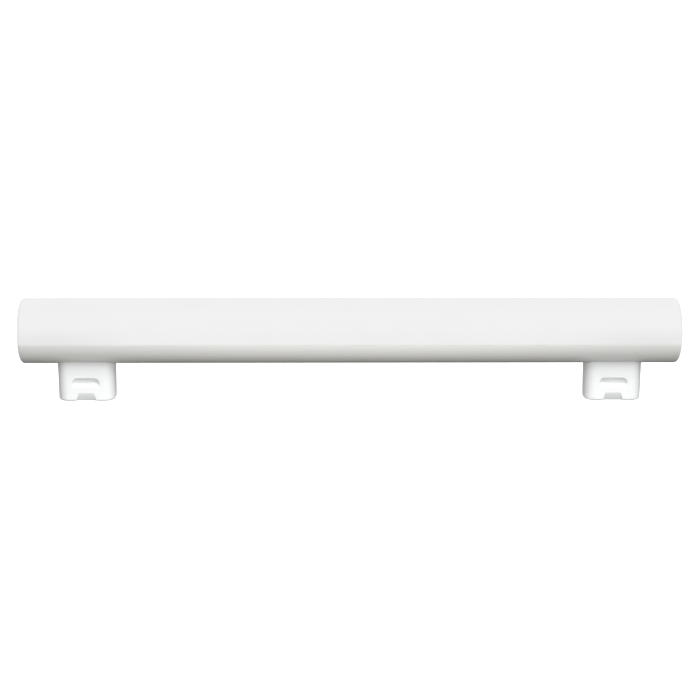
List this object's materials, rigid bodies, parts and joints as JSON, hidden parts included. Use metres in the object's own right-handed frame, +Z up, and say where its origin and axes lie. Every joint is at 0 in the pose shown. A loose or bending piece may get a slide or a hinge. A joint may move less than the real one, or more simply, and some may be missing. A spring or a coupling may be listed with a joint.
{
  "type": "tubular light bulb",
  "caption": "Straight opal tube lamp with rounded end rims and two plug-in caps on its underside, each with side catches and a recessed contact in its foot.",
  "frame": {"origin": "on the plane of the two cap feet, midway between the caps, below the tube's axis", "axes": "+X along the tube, +Y across it to the back, +Z up from the feet to the tube"},
  "size_m": [0.3, 0.0298, 0.0466],
  "materials": {
    "opal": "smooth opal white, satin gloss",
    "white_base": "smooth opaque white, glossy",
    "white_cap": "moulded white, fine satin grain",
    "contact": "nickel-plated, lightly rubbed"
  },
  "bodies": {
    "root": {"cover": "opal", "base": "white_base", "left_cap": "white_cap", "right_cap": "white_cap", "left_contact": "contact", "right_contact": "contact"}
  },
  "joints": []
}
